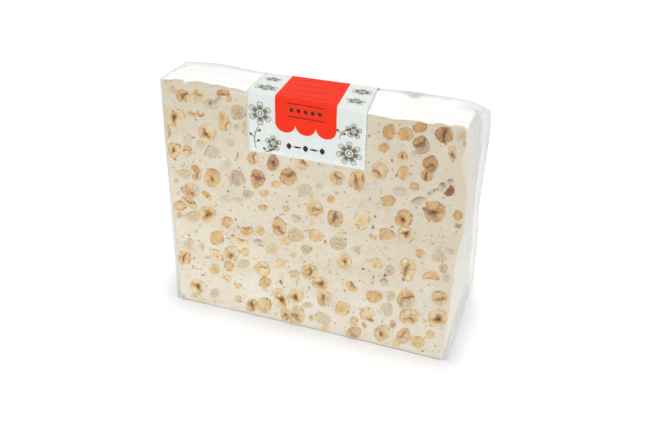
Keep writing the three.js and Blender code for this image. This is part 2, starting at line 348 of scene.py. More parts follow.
def sawn_face(foot, lean, way):
    """A sawn face of the nougat: the middle of its foot, and the directions across, up and out of it."""
    slope = math.hypot(HEIGHT, lean)
    return {
        "origin": np.array([FOOT_CENTRE_X, FOOT_CENTRE_Y + foot, 0.0]),
        "across": np.array([-way, 0.0, 0.0]),
        "up": np.array([0.0, lean, HEIGHT]) / slope,
        "out": way * np.array([0.0, HEIGHT, -lean]) / slope,
        "slope": slope,
    }


AXES = camera_axes()
FRONT = sawn_face(FRONT_GAP - DEPTH / 2, FRONT_LEAN, -1.0)
BACK = sawn_face(DEPTH / 2 - BACK_GAP - FOOT_SLACK, FOOT_SLACK - BACK_LEAN, 1.0)


def on_front(column, row):
    """Where a pixel of the photograph meets the sawn front: across and up that face."""
    ray = np.append((np.array([column, row]) - PHOTO_SIZE / 2) / FOCAL_PIXELS, 1.0) @ AXES
    origin = FRONT["origin"]
    for _ in range(3):
        reach = (origin - EYE) @ FRONT["out"] / (ray @ FRONT["out"])
        place = EYE + reach * ray - origin
        across, up = place @ FRONT["across"], place @ FRONT["up"]
        origin = FRONT["origin"] - (0.0, foot_forward(across, up / FRONT["slope"]), 0.0)
    return np.array([across, up])


def face_points(side, flat, out):
    """Points at these places across and up a sawn face, this far out of it."""
    points = side["origin"] + flat[..., :1] * side["across"] + flat[..., 1:] * side["up"]
    if side is FRONT:
        points[..., 1] -= foot_forward(flat[..., 0], flat[..., 1] / side["slope"])
    return points + np.asarray(out)[..., None] * side["out"]


def seen_shape(column, row, wide, high, turn, tone):
    """Centre of a spot on the front, the matrix that turns a unit disc into it, and its tone, or for an air
    hole its painted shade.
    """
    centre = on_front(column, row)
    angle = math.radians(turn)
    along = np.array([math.cos(angle), math.sin(angle)]) * wide / 2
    over = np.array([-math.sin(angle), math.cos(angle)]) * high / 2
    ends = [on_front(column + x, row + y) - centre for x, y in (along, over)]
    return centre, np.array(ends).T, tone


def front_holes():
    """Air holes on the front: centres, matrices that turn a unit disc into their flanges, and painted shade.
    """
    shapes = itertools.starmap(seen_shape, PITS)
    return [(centre, HOLE_FLANGE * shape, hole_shade) for centre, shape, hole_shade in shapes]


# Cut hazelnuts and air holes.
RINGS, SPOKES = 15, 42
OUTLINE_WAVES = (2, 3, 4, 5, 7, 11, 17)
LEAST_OUTLINE = 0.89  # an uneven outline stays this far out, so that it covers the hollow it sits in
KERNEL_RISE = 0.25  # how far a cut nut stands above the nougat, at its middle
ARC_RISE = 0.2  # an arc stands this much higher
KERNEL_INSET = 0.9  # how far a cut nut keeps from the edge of its face
BODY_SHARE, BODY_DEPTH, BASE_DEPTH = 0.8, 2.4, 3.2  # the rounded body below the face of a nut or a hole
FIBRE_STRETCH = 0.2  # fibres change this much more slowly along their length
BACK_TRIES = 200  # places tried for each nut on the back


def unit_disc(outline_of):
    """Radii and angles of a disc's rings, from the middle to the rim, and its points with this outline."""
    radius = (np.arange(1, RINGS + 1) / RINGS) ** 0.85
    angle = np.arange(SPOKES) * 2 * math.pi / SPOKES
    radius, angle = np.meshgrid(radius, angle, indexing="ij")
    reach = radius * outline_of(angle)
    return radius, angle, reach * np.cos(angle), reach * np.sin(angle)


def wavy_outline(angle, rng, amount):
    """An uneven round outline with a slightly ragged edge."""
    outline = np.ones_like(angle)
    for wave in OUTLINE_WAVES:
        outline += amount / wave * rng.normal() * np.cos(wave * angle + rng.uniform(0, 2 * math.pi))
    return np.maximum(outline, LEAST_OUTLINE)


def chip_outline(angle, rng):
    """An angular outline with a few blunt corners."""
    corners = np.sort(rng.uniform(0, 2 * math.pi, rng.integers(4, 7)))
    gap = np.min(np.abs((angle[..., None] - corners + math.pi) % (2 * math.pi) - math.pi), axis=-1)
    return 0.8 + 0.28 * bump(gap, 0.0, 0.35) + 0.05 * np.cos(3 * angle + rng.uniform(0, 6))


def crack(nut, rng, through, width, angle):
    """A wandering line through a place at this angle: its mask, and how far aside of it the points lie."""
    along, aside = turned(nut.u - through[0], nut.v - through[1], angle)
    aside = aside - rng.uniform(-0.5, 0.5) * along**2 - 0.06 * np.sin(along * 6 + rng.uniform(0, 6))
    reach = rng.uniform(0.5, 1.0)
    wide = width * (0.6 + 0.4 * np.cos(along / reach * 1.4))
    return bump(aside, 0.0, wide) * smooth(np.abs(along), reach, reach * 0.5), aside


def hollow_mask(nut, rng, size):
    """Mask of an uneven hollow near the middle, the halo about it, and its centre."""
    centre = rng.uniform(-0.15, 0.15, 2)
    a, b = turned(nut.u - centre[0], nut.v - centre[1], rng.uniform(0, math.pi))
    b = b / rng.uniform(0.45, 0.85)
    turn = np.arctan2(b, a)
    edge = 1 + 0.22 * np.cos(3 * turn + rng.uniform(0, 6)) + 0.14 * np.cos(5 * turn + rng.uniform(0, 6))
    away = np.hypot(a, b) / (size * edge)
    return smooth(away, 1.1, 0.4), smooth(away, 3.8, 0.7), centre


def plain_face(base_tone, disc, rng):
    """What all cut nuts have: mottled flesh, a broken brown skin with flecks inside it, and a heart."""
    radius, angle, u, v = disc
    spots = np.stack([u, v, np.full_like(u, rng.uniform(0, 90))], axis=-1).reshape(-1, 3)
    patch, mottle, fine = [noise(spots, lump, 5).reshape(u.shape) for lump in (0.85, 0.4, 0.17)]
    lie = rng.uniform(0, math.pi)
    broken = smooth(np.cos(angle * rng.integers(1, 4) + rng.uniform(0, 6)) + 0.9 * fine, -0.4, 0.6)
    skin = bump(radius, 0.955, 0.05) * broken
    band = bump(radius, 0.8, 0.09)
    flecks = smooth(fine + 0.3 * patch, 0.42, 0.7) * smooth(radius, 0.5, 0.9)
    heart = smooth(np.hypot(u - rng.uniform(-0.3, 0.3), v - rng.uniform(-0.3, 0.3)), 0.75, 0.1)
    tone = base_tone + 0.12 * patch + 0.07 * mottle + 0.03 * fine - rng.uniform(0.0, 0.1) * band
    tone = tone + rng.uniform(0.2, 0.5) * skin + 0.2 * flecks + rng.choice([-0.08, 0.0, 0.15]) * heart
    dark = rng.uniform(0.0, 0.28) * skin + rng.uniform(0.1, 0.6) * flecks
    pale = smooth(base_tone, 0.65, 0.4)
    veil = rng.choice([0.0, 0.0, 0.4]) * pale * smooth(patch + 0.4 * mottle, 0.2, 0.6)
    return SimpleNamespace(
        u=u, v=v, radius=radius, lie=lie, base_tone=base_tone, pale=pale, patch=patch, mottle=mottle,
        broken=broken, skin=skin, flecks=flecks, tone=tone, dark=dark, veil=veil,
        height=0.07 * mottle + 0.05 * fine, crackle=rng.uniform(0.0, 0.25))


def hollow_face(nut, rng):
    """A nut cut across: a hollow with a brown halo, sometimes split, and a faint ring."""
    mask, halo, centre = hollow_mask(nut, rng, rng.uniform(0.18, 0.32))
    split, _ = crack(nut, rng, centre, 0.06, rng.uniform(0, math.pi))
    split = split * rng.choice([0.0, 0.7])
    ring = bump(nut.radius, 0.78, 0.04) * nut.broken
    halo = halo * (1 + 0.4 * nut.mottle)
    nut.tone = nut.tone - 0.2 + (rng.uniform(0.85, 1.05) - nut.base_tone) * halo + 0.15 * ring
    nut.veil = nut.veil + rng.uniform(0.05, 0.25) * nut.pale * smooth(halo, 0.4, 0.0) * (1 - ring)
    nut.dark = np.maximum(nut.dark, np.maximum(mask * rng.uniform(0.2, 0.6), 0.5 * split))
    nut.height = nut.height - 1.8 * mask - 0.5 * split


def cleft_face(nut, rng):
    """A nut cut lengthwise: a cleft between its halves, with a branch, and one half in shade."""
    line, aside = crack(nut, rng, rng.uniform(-0.2, 0.2, 2), rng.uniform(0.05, 0.1), nut.lie)
    branch, _ = crack(nut, rng, rng.uniform(-0.25, 0.25, 2), 0.04, nut.lie + rng.uniform(0.5, 1.3))
    aside = aside + 0.2 * nut.mottle + 0.1 * nut.patch
    glow = bump(aside, 0.0, rng.uniform(0.15, 0.35)) * smooth(nut.radius, 1.0, 0.4)
    shade = smooth(aside, 0.0, 0.08) * smooth(aside, rng.uniform(0.35, 0.8), 0.05)
    nut.tone = nut.tone - 0.08 + rng.uniform(0.15, 0.35) * glow + rng.uniform(0.05, 0.4) * shade
    nut.veil = nut.veil + rng.choice([0.0, 0.25, 0.5]) * nut.pale * smooth(aside, 0.0, -0.15)
    splits = np.maximum(rng.uniform(0.5, 0.95) * line, rng.choice([0.0, 0.6]) * branch)
    nut.dark = np.maximum(nut.dark, splits)
    nut.height = nut.height - 0.9 * splits - 0.25 * shade
    nut.crackle = rng.uniform(0.1, 0.5)


def veiled_face(nut, rng):
    """A nut just under the cut, seen through a thin layer of nougat, with a streak."""
    streak, _ = crack(nut, rng, rng.uniform(-0.2, 0.2, 2), 0.1, nut.lie)
    streak = streak * rng.uniform(0, 1)
    nut.tone = nut.tone + 0.04 + 0.2 * streak
    cover = rng.uniform(0.4, 0.7) + 0.2 * nut.patch + 0.15 * smooth(nut.radius, 0.6, 0.9)
    nut.veil = cover - 0.3 * streak - 0.35 * nut.skin - 0.25 * nut.flecks


def arc_face(nut, rng):
    """A curved sliver, browner on its inner side."""
    nut.tone = nut.tone + 0.3 * smooth(nut.v + 0.3 * nut.mottle, 0.0, 0.9)
    nut.dark = np.maximum(nut.dark, 0.4 * smooth(nut.v + 0.4 * nut.mottle, 0.5, 1.0))


def chip_face(nut, rng):
    """A small chip, with little dark on it."""
    nut.tone = nut.tone - 0.03
    nut.dark = 0.4 * nut.dark


def solid_face(nut, rng):
    """A nut cut off its middle, with neither hollow nor cleft."""
    nut.tone = nut.tone - 0.04


FACES = {
    "cleft": cleft_face, "hollow": hollow_face, "solid": solid_face,
    "veiled": veiled_face, "arc": arc_face, "chip": chip_face,
}


def fibre_masks(kind, nut, size, rng):
    """Coordinates in millimetres along which a cut nut's fibres are drawn: from its middle, or lengthwise."""
    if kind in ("hollow", "solid"):
        angle = np.arctan2(nut.v, nut.u)
        fibres = [size * np.cos(angle), size * np.sin(angle), FIBRE_STRETCH * size * np.hypot(nut.u, nut.v)]
    else:
        along, aside = turned(nut.u, nut.v, nut.lie)
        bent = aside + rng.uniform(-0.5, 0.5) * along**2
        fibres = [size * bent, FIBRE_STRETCH * size * along, 0 * along]
    return {"fibre_" + axis: values + rng.uniform(20, 90) for axis, values in zip("xyz", fibres)}


def kernel_face(kind, base_tone, size, disc, rng):
    """Height in millimetres over one cut nut, and its masks: tone, dark, veil, crackle and fibres."""
    nut = plain_face(base_tone, disc, rng)
    FACES[kind](nut, rng)
    crackle = nut.crackle * smooth(nut.radius, 0.97, 0.8)
    masks = {"tone": nut.tone, "dark": nut.dark, "veil": nut.veil, "crackle": crackle}
    masks = {name: np.clip(values, 0, 1) for name, values in masks.items()}
    return nut.height, masks | fibre_masks(kind, nut, size, rng)


def bend_to_arc(u, v, rng):
    """Turns a disc into a crescent with its back towards -v."""
    half_turn = rng.uniform(1.0, 1.35)
    thick = 1 - rng.uniform(0.15, 0.4)
    away = 1 - thick / 2 - v * thick / 2
    x = away * np.sin(u * half_turn) / math.sin(min(half_turn, math.pi / 2))
    y = -away * np.cos(u * half_turn)
    return x, (y + 0.6) * 1.6


def within_face(flat, side):
    """Keeps places on a sawn face off its edges, where the nougat and its nuts were sawn through."""
    up = np.clip(flat[..., 1], KERNEL_INSET, HEIGHT - TOP_GAP - KERNEL_INSET)
    half = WIDTH / 2 - END_GAP - KERNEL_INSET
    depth = -DEPTH / 2 if side is FRONT else DEPTH / 2
    limits = []
    for end in (-half, half):
        edge = np.stack([np.full(up.size, end), np.full(up.size, depth), up.ravel()], axis=1)
        limits.append(((settle(edge) - side["origin"]) @ side["across"]).reshape(up.shape))
    return np.stack([np.clip(flat[..., 0], np.minimum(*limits), np.maximum(*limits)), up], axis=-1)


def sunk_disc(u, v, height, masks, centre, shape, side):
    """A solid let into a sawn face: its face is a disc with these heights, and its body is rounded."""
    flat = within_face(np.stack([u, v], axis=-1) @ shape.T + centre, side)
    top = face_points(side, flat, height).reshape(-1, 3)
    rim = top[-SPOKES:]
    middle = face_points(side, flat[0].mean(axis=0)[None], [height[0].mean()])
    rim_middle = flat[-1].mean(axis=0)
    body = face_points(side, (flat[-1] - rim_middle) * BODY_SHARE + rim_middle, np.full(SPOKES, -BODY_DEPTH))
    base = face_points(side, rim_middle[None], [-BASE_DEPTH])
    points = np.concatenate([middle, top, rim, body, base])
    pairs = ring_pairs(SPOKES)
    faces = [(0, 1 + a, 1 + b) for a, b in pairs]
    for n in range(RINGS + 1):
        if n == RINGS - 1:
            continue  # the face ends in a sharp rim, and its copy starts the body
        low, high = 1 + n * SPOKES, 1 + (n + 1) * SPOKES
        faces += [(low + a, high + a, high + b, low + b) for a, b in pairs]
    last = 1 + (RINGS + 1) * SPOKES
    faces += [(last + a, len(points) - 1, last + b) for a, b in pairs]
    spread = {}
    for name, values in masks.items():
        below = np.full(SPOKES + 1, values[-1].mean())
        spread[name] = np.concatenate([[values[0].mean()], values.ravel(), values[-1], below])
    return points, faces, spread


def kernel_mesh(kind, centre, shape, base_tone, side, rng):
    """One cut nut: its face, and a rounded body that sits in the nougat."""
    if kind == "chip":
        disc = unit_disc(lambda angle: chip_outline(angle, rng))
    else:
        disc = unit_disc(lambda angle: wavy_outline(angle, rng, 0.14))
    radius, _, u, v = disc
    size = math.sqrt(abs(np.linalg.det(shape)))
    height, masks = kernel_face(kind, base_tone, size, disc, rng)
    height += KERNEL_RISE * (1 - 0.4 * smooth(radius, 0.8, 1.0))
    if kind == "arc":
        u, v = bend_to_arc(u, v, rng)
        height += ARC_RISE
    return sunk_disc(u, v, height, masks, centre, shape, side)


def air_hole_mesh(centre, shape, hole_shade, side, rng):
    """A bowl in the nougat with a flat flange about it, with brown painted shade below its upper edge and
    round its rim.
    """
    radius, _, u, v = unit_disc(lambda angle: wavy_outline(angle, rng, 0.16))
    small = np.linalg.norm(shape, -2) / HOLE_FLANGE
    edge = 1 / HOLE_FLANGE
    bowl = min(0.7, 0.3 * small) * smooth(radius, edge, 0.2)
    height = 0.05 - 0.1 * smooth(radius, edge, 1.0) - bowl
    # Painted shade: the bowl's upper side, where light from above does not reach, and the whole of a small
    # hole.
    upper = np.maximum(smooth(v, 0.45, -0.5), smooth(small, 1.6, 0.9))
    rim = bump(radius, edge - 0.07, 0.06)
    shade = hole_shade * np.maximum((0.15 + 0.85 * upper) * smooth(radius, edge, edge - 0.12), 0.55 * rim)
    none = np.zeros_like(u)
    masks = {"pit_shade": np.clip(shade, 0, 1), "crust": none, "skin": none, "end": none}
    return sunk_disc(u, v, height, masks, centre, shape, side)


def scatter_on_back(nuts, rng):
    """The same nuts at other places on the back, the largest first, where they have room."""
    placed = []
    for kind, _, shape, tone in sorted(nuts, key=lambda nut: -np.linalg.norm(nut[2], 2)):
        size = np.linalg.norm(shape, 2)
        for _ in range(BACK_TRIES):
            place = np.array([
                rng.uniform(-WIDTH / 2 + 6 + size, WIDTH / 2 - 6 - size),
                rng.uniform(4 + size, HEIGHT - TOP_DROP - 14 - size)])
            if all(np.hypot(*(place - other)) > 0.85 * (size + reach) for _, other, _, _, reach in placed):
                turn = rng.uniform(0, 2 * math.pi)
                spin = np.array([[math.cos(turn), -math.sin(turn)], [math.sin(turn), math.cos(turn)]])
                placed.append((kind, place, spin @ shape, tone, size))
                break
    return [nut[:4] for nut in placed]


# Materials.
class Nodes:
    """A new material, with short ways to add nodes to it. A value is a number, a colour or another socket."""

    def __init__(self, name):
        self.material = bpy.data.materials.new(name)
        self.material.use_nodes = True
        self.tree = self.material.node_tree
        self.shader = self.tree.nodes["Principled BSDF"]

    def feed(self, socket, value):
        """Sets a socket to a value, or links another socket to it."""
        if isinstance(value, bpy.types.NodeSocket):
            self.tree.links.new(value, socket)
        else:
            socket.default_value = (*value, 1.0) if socket.type == "RGBA" else value

    def add(self, kind, values, **settings):
        """A new node with these settings, and with these values for its inputs, by name or number."""
        node = self.tree.nodes.new("ShaderNode" + kind)
        for name, value in settings.items():
            setattr(node, name, value)
        for name, value in values.items():
            self.feed(node.inputs[name], value)
        return node

    def shade(self, **values):
        """Sets inputs of the main shader. Words in their names are joined by a low line here."""
        for name, value in values.items():
            self.feed(self.shader.inputs[name.replace("_", " ")], value)

    def place(self):
        """The piece's own coordinates."""
        return self.add("TexCoord", {}).outputs["Object"]

    def noise(self, size, detail=4.0, roughness=0.55, stretch=(1, 1, 1)):
        """Noise in the piece's own coordinates, with lumps of this many millimetres."""
        place = self.add("Mapping", {"Vector": self.place(), "Scale": stretch}).outputs["Vector"]
        values = {"Vector": place, "Scale": 1 / (size * MM), "Detail": detail, "Roughness": roughness}
        return self.add("TexNoise", values).outputs["Fac"]

    def ramp(self, factor, *stops):
        """A colour ramp with stops of a place and a colour."""
        ramp = self.add("ValToRGB", {"Fac": factor})
        elements = ramp.color_ramp.elements
        while len(elements) < len(stops):
            elements.new(0.5)
        for element, (place, colour) in zip(elements, stops):
            element.position = place
            element.color = (*colour, 1.0)
        return ramp.outputs["Color"]

    def mix(self, factor, first, second):
        """First where the factor is 0 and second where it is 1."""
        node = self.add("Mix", {"Factor": factor}, data_type="RGBA")
        for socket, value in zip([s for s in node.inputs if s.type == "RGBA"], (first, second)):
            self.feed(socket, value)
        return [s for s in node.outputs if s.type == "RGBA"][0]

    def math(self, operation, first, second, clamp=False):
        """Two values put together by the operation of this name."""
        node = self.add("Math", {0: first, 1: second}, operation=operation, use_clamp=clamp)
        return node.outputs["Value"]

    def step(self, value, low, high, reach=1.0, start=0.0):
        """Start at low and below, start + reach at high and above, and an even rise between them."""
        values = {"Value": value, "From Min": low, "From Max": high, "To Min": start, "To Max": start + reach}
        return self.add("MapRange", values).outputs["Result"]

    def mask(self, name):
        """A mask that the mesh carries."""
        return self.add("Attribute", {}, attribute_name=name).outputs["Fac"]

    def slant(self, sideways):
        """Height above the table and a share of the way to the right, in metres."""
        parts = self.add("SeparateXYZ", {"Vector": self.place()}).outputs
        return self.math("ADD", parts["Z"], self.math("MULTIPLY", parts["X"], sideways))

    def bump(self, height, distance, strength):
        """Relief of this many millimetres on the main shader."""
        node = self.add("Bump", {"Height": height, "Distance": distance * MM, "Strength": strength})
        self.feed(self.shader.inputs["Normal"], node.outputs["Normal"])


def nougat_material():
    """Cream nougat on the cut faces, with smears, crumbs and specks, and a pale skin round the sides."""
    net = Nodes("nougat")
    smear = net.noise(24, stretch=(1, 1, 1.6))
    grain = net.noise(2.0, detail=6.0, roughness=0.7)
    pale = net.noise(4.5, detail=5.0, roughness=0.65)
    crumb = net.noise(1.7, detail=2.0)
    speck = net.noise(1.1, detail=2.0)
    # Painted light and shade: the front paler towards the foot and darker up towards the top right.
    painted_foot_light = net.step(net.slant(0), 0.0, 0.06, -0.45, 0.45)
    painted_upper_shade = net.step(net.slant(0.35), 0.02, 0.14, 0.48)
    cream = net.ramp(
        smear, (0.32, (0.725, 0.645, 0.49)), (0.5, (0.775, 0.705, 0.56)), (0.68, (0.82, 0.765, 0.64)))
    for share, colour in (
        (net.step(grain, 0.45, 0.75, 0.35), (0.69, 0.60, 0.43)),
        (net.step(pale, 0.52, 0.7, 0.45), (0.86, 0.815, 0.70)),
        (net.step(crumb, 0.63, 0.69, 0.6), (0.72, 0.50, 0.24)),
        (net.step(speck, 0.69, 0.74, 0.65), (0.36, 0.23, 0.11)),
        (painted_foot_light, (0.88, 0.845, 0.745)),
        (painted_upper_shade, (0.645, 0.56, 0.415)),
        # Painted shade in the air holes and small pits, brown.
        (net.mask("pit_shade"), (0.27, 0.145, 0.04)),
        (net.mask("crust"), (0.72, 0.55, 0.34)),
    ):
        cream = net.mix(share, cream, colour)
    streak = net.noise(16, detail=2.0, stretch=(1, 1, 0.22))
    end = net.ramp(streak, (0.35, (0.77, 0.745, 0.68)), (0.65, (0.80, 0.785, 0.735)))
    # Painted shade: the ends darker above their lowest few centimetres.
    end = net.mix(net.step(net.slant(0), 0.03, 0.1, 0.5), end, (0.61, 0.59, 0.535))
    crease = net.noise(9, detail=5.0, stretch=(0.5, 1, 1))
    top = net.ramp(
        crease, (0.3, (0.89, 0.85, 0.78)), (0.42, (0.945, 0.935, 0.91)), (0.6, (0.97, 0.965, 0.95)))
    skin = net.mix(net.mask("end"), top, end)
    net.shade(
        Base_Color=net.mix(net.mask("skin"), cream, skin), Roughness=net.step(grain, 0.0, 1.0, 0.3, 0.5),
        Specular_IOR_Level=0.25)
    net.bump(net.math("ADD", grain, pale), 0.3, 0.5)
    return net.material


def nut_fibres(net, size):
    """Fine fibres in the coordinates that a cut nut carries."""
    place = net.add("CombineXYZ", {axis.upper(): net.mask("fibre_" + axis) for axis in "xyz"})
    values = {"Vector": place.outputs["Vector"], "Scale": 1 / size, "Detail": 3.0}
    return net.add("TexNoise", values).outputs["Fac"]


def nut_cracks(net, size):
    """A net of wandering cracks: a soft zone along them, and the cracks themselves."""
    place = net.place()
    wander = net.add("TexNoise", {"Vector": place, "Scale": 1 / (2.5 * MM), "Detail": 3.0})
    scaled = net.add("VectorMath", {0: wander.outputs["Color"], "Scale": 3.0 * MM}, operation="SCALE")
    moved = net.add("VectorMath", {0: place, 1: scaled.outputs["Vector"]})
    values = {"Vector": moved.outputs["Vector"], "Scale": 1 / (size * MM)}
    away = net.add("TexVoronoi", values, feature="DISTANCE_TO_EDGE").outputs["Distance"]
    return net.step(away, 0.0, 0.16, -0.3, 0.3), net.step(away, 0.01, 0.035, -0.9, 0.9)


def kernel_material(kind):
    """Cut hazelnut: pale to golden to brown flesh, dark in its hollows and cracks, paler under nougat."""
    net = Nodes("hazelnut_" + kind)
    grain = net.noise(1.8, detail=7.0, roughness=0.72)
    near, on_line = nut_cracks(net, 6.0)
    fibres = nut_fibres(net, 0.9)
    crackle = net.mask("crackle")
    tone = net.mask("tone")
    for shift in (
        net.step(grain, 0.3, 0.7, 0.28, -0.12),
        net.math("MULTIPLY", near, crackle),
        net.step(fibres, 0.3, 0.7, 0.3, -0.15),
        # Painted shade: the nuts darker up towards the top right.
        net.step(net.slant(0.5), 0.0, 0.19, 0.18, -0.07),
    ):
        tone = net.math("ADD", tone, shift)
    flesh = net.ramp(
        tone, (0.0, (0.84, 0.73, 0.50)), (0.2, (0.775, 0.59, 0.31)), (0.4, (0.70, 0.465, 0.195)),
        (0.6, (0.60, 0.335, 0.11)), (0.8, (0.43, 0.205, 0.058)), (1.0, (0.26, 0.11, 0.034)))
    line = net.math("MULTIPLY", on_line, crackle)
    flesh = net.mix(net.math("MAXIMUM", net.mask("dark"), line), flesh, (0.16, 0.075, 0.028))
    thin = net.step(fibres, 0.3, 0.7, -0.6, 1.25)
    veil = net.math("MULTIPLY", net.mask("veil"), thin, True)
    net.shade(
        Base_Color=net.mix(veil, flesh, (0.665, 0.605, 0.465)),
        Roughness=net.step(grain, 0.0, 1.0, 0.3, 0.35), Specular_IOR_Level=0.3)
    net.bump(net.math("SUBTRACT", grain, line), 0.3, 0.7)
    return net.material


def film_material():
    """Clear film: it lets light through, shines where it is seen at a slant, and is milky in its folds."""
    net = Nodes("film")
    net.tree.nodes.remove(net.shader)
    tint = net.mix(net.mask("double"), (0.985, 0.985, 0.985), (0.78, 0.79, 0.79))
    clear = net.add("BsdfTransparent", {"Color": tint})
    white = (0.80, 0.80, 0.785)
    layers = [net.add(kind, {"Color": white}).outputs["BSDF"] for kind in ("BsdfDiffuse", "BsdfTranslucent")]
    milk = net.add("MixShader", dict(enumerate(layers, 1)))
    shine = net.add("BsdfGlossy", {"Color": (0.86, 0.88, 0.88), "Roughness": 0.16})
    streak = net.noise(12, detail=2.0, stretch=(1, 1, 0.18))
    haze = net.math("MULTIPLY", net.mask("haze"), net.step(streak, 0.3, 0.7, 0.25, 0.88))
    slant = net.math("MULTIPLY", net.add("Fresnel", {"IOR": 1.3}).outputs["Fac"], 0.3)
    haze = net.math("ADD", haze, slant, True)
    body = net.add("MixShader", {"Fac": haze, 1: clear.outputs["BSDF"], 2: milk.outputs["Shader"]})
    whole = net.add("MixShader", {"Fac": 0.035, 1: body.outputs["Shader"], 2: shine.outputs["BSDF"]})
    net.feed(net.tree.nodes["Material Output"].inputs["Surface"], whole.outputs["Shader"])
    return net.material


def print_material(name, colour, roughness):
    """Ink or paper with a faint mottle and fibre."""
    net = Nodes(name)
    mottle = net.noise(3.0, detail=5.0)
    fibre = net.noise(0.5, detail=3.0)
    low = tuple(0.94 * part for part in colour)
    net.shade(
        Base_Color=net.ramp(mottle, (0.3, low), (0.7, colour)),
        Roughness=net.step(fibre, 0.0, 1.0, 0.15, roughness), Specular_IOR_Level=0.03)
    net.bump(fibre, 0.03, 0.5)
    return net.material


# The nougat body and its crumbs.
def spot_reach(points, side, spots):
    """For points on a sawn face, the nearest spot's reach: 0 at a centre, 1 at a rim, and more outside."""
    place = points - side["origin"]
    flat = np.stack([place @ side["across"], place @ side["up"]], axis=1)
    nearest = np.full(len(points), 9.0)
    for centre, shape in spots:
        reach = np.linalg.norm(shape, 2) * 1.3
        close = np.flatnonzero(np.all(np.abs(flat - centre) < reach, axis=1))
        local = (flat[close] - centre) @ np.linalg.inv(shape).T
        nearest[close] = np.minimum(nearest[close], np.hypot(*local.T))
    return nearest


def small_pits(rng):
    """Places and sizes of small air holes strewn over a sawn face."""
    spots = []
    for _ in range(PIT_COUNT):
        place = np.array([rng.uniform(-WIDTH / 2 + 6, WIDTH / 2 - 6), rng.uniform(4, HEIGHT - 6)])
        spots.append((place, np.diag(rng.uniform(0.7, 2.0, 2))))
    return spots


def crumbled(points):
    """How far the sawn faces stand out, in millimetres, by their crumbly lumps."""
    return 0.3 * noise(points, 7, 3) + 0.2 * noise(points, 2.6, 4)


def nougat_block():
    """The upright block on its grid, and the measures of its points that shape and colour go by."""
    low = np.array([-WIDTH / 2 + END_GAP, -DEPTH / 2 + FRONT_GAP, FOOT_GAP])
    high = np.array([WIDTH / 2 - END_GAP, DEPTH / 2 - BACK_GAP, HEIGHT - TOP_GAP])
    cells = (NOUGAT_CELL, NOUGAT_SIDE_CELL, NOUGAT_CELL)
    box, faces = box_shell(*[edge_lines(a, b, cell, NOUGAT_RADIUS) for a, b, cell in zip(low, high, cells)])
    x, y, z = box.T
    from_face = np.minimum(y - low[1], high[1] - y)
    break_at = (high[0], low[1], BROKEN_AT)
    return SimpleNamespace(
        box=box, faces=faces, low=low, high=high, x=x, z=z, up=z / HEIGHT,
        depth=(y - low[1]) / (high[1] - low[1]), from_face=from_face, cut=smooth(from_face, 1.6, 0.3),
        edge=np.minimum.reduce([x - low[0], high[0] - x, z - low[2], high[2] - z]),
        brink=smooth(high[2] - z, 5.0, 0.5) * smooth(y - low[1], 6.0, 0.5),
        from_break=np.linalg.norm((box - break_at) / (1, 1, 1.6), axis=1))


def edge_radius(block):
    """The rounding of the block's edges: crumbly, wide along the top of the back, broken at one corner."""
    radius = 1.3 + 0.8 * noise(block.box, 11, 1) + 0.35 * noise(block.box, 3.5, 2)
    radius += 8.0 * smooth(block.up, 0.75, 0.97) * smooth(block.depth, 0.55, 0.95)
    corner = (block.high[0], block.low[1], block.high[2])
    radius += 3.5 * smooth(np.linalg.norm(block.box - corner, axis=1), 16, 4)
    return np.maximum(radius, 0.4)


def settled_block(block):
    """The block's points on the slab: clear of the film at the foot, and filling its ear and its swells."""
    x, up, depth = block.x, block.up, block.depth
    points = settle(round_edges(block.box, block.low, block.high, edge_radius(block)))
    points[:, 1] -= FOOT_SLACK * (1 - up) * depth
    follow = smooth(up, EAR_FROM, 0.95) * (1 - 0.5 * smooth(up, 0.93, 1.0))
    points[:, 0] += NOUGAT_EAR * smooth(x, 0, WIDTH / 2) * follow * smooth(depth, 0, 1)
    droop = smooth(x, WIDTH / 2 - 14, WIDTH / 2 - END_GAP) * smooth(depth, 0.15, 1.0)
    points[:, 2] -= NOUGAT_DROOP * droop * smooth(up, 0.82, 1.0)
    left = smooth(-x, WIDTH / 2 - END_REACH, WIDTH / 2 - 3)
    points[:, 0] -= hump(block.z, LEFT_SWELL) * left * (1 - depth)
    corner = smooth(x, WIDTH / 2 - 18, WIDTH / 2 - END_GAP) * smooth(up, NOUGAT_IN_SHARE, 0.0)
    points[:, 0] -= NOUGAT_IN * corner * (1 - depth)
    return points


def sawn_relief(block, points, side, nuts, holes, rng):
    """Moves a sawn face's points for crumbs, air holes and beds. Returns the painted shade in its small
    holes.
    """
    nut = spot_reach(points, side, [shape[1:3] for shape in nuts])
    hole = spot_reach(points, side, holes)
    bedded = spot_reach(points, side, [shape[1:3] for shape in nuts if shape[0] in BEDDED])
    small = spot_reach(points, side, small_pits(rng))
    clear = smooth(np.minimum(nut, hole), 0.95, 1.25)
    move = crumbled(points) * smooth(block.edge, 0.8, 2.5) * clear
    move -= BED_DEPTH * smooth(np.minimum(bedded, hole), 0.86, 0.6)
    move -= 0.06 * smooth(nut, 1.3, 1.05) + PIT_DEPTH * clear * smooth(small, 1.0, 0.2)
    on_side = block.cut * (block.depth < 0.5 if side is FRONT else block.depth > 0.5)
    points += (on_side * move)[:, None] * side["out"]
    return 0.2 * on_side * clear * smooth(small, 1.0, 0.3)


def skin_masks(block, points):
    """Brown crust along the edges of the cut, the pale skin round the sides, and its two ends."""
    line = bump(block.from_face, 0.2, 0.9) * smooth(block.edge, 1.8, 0.2)
    ragged = (0.8 + 0.8 * block.brink) * noise(points, 5, 7) + 0.7 * block.brink * noise(points, 2.4, 9)
    end = smooth(np.abs(block.x), block.high[0] - 3.0, block.high[0] - 0.5)
    return {
        "crust": 0.8 * line * smooth(noise(points, 9, 8), -0.4, 0.4),
        "skin": smooth(block.from_face + ragged, 0.9, 1.8) * smooth(block.from_break, 4, 12),
        "end": end * smooth(block.up, 0.995, 0.975),
    }


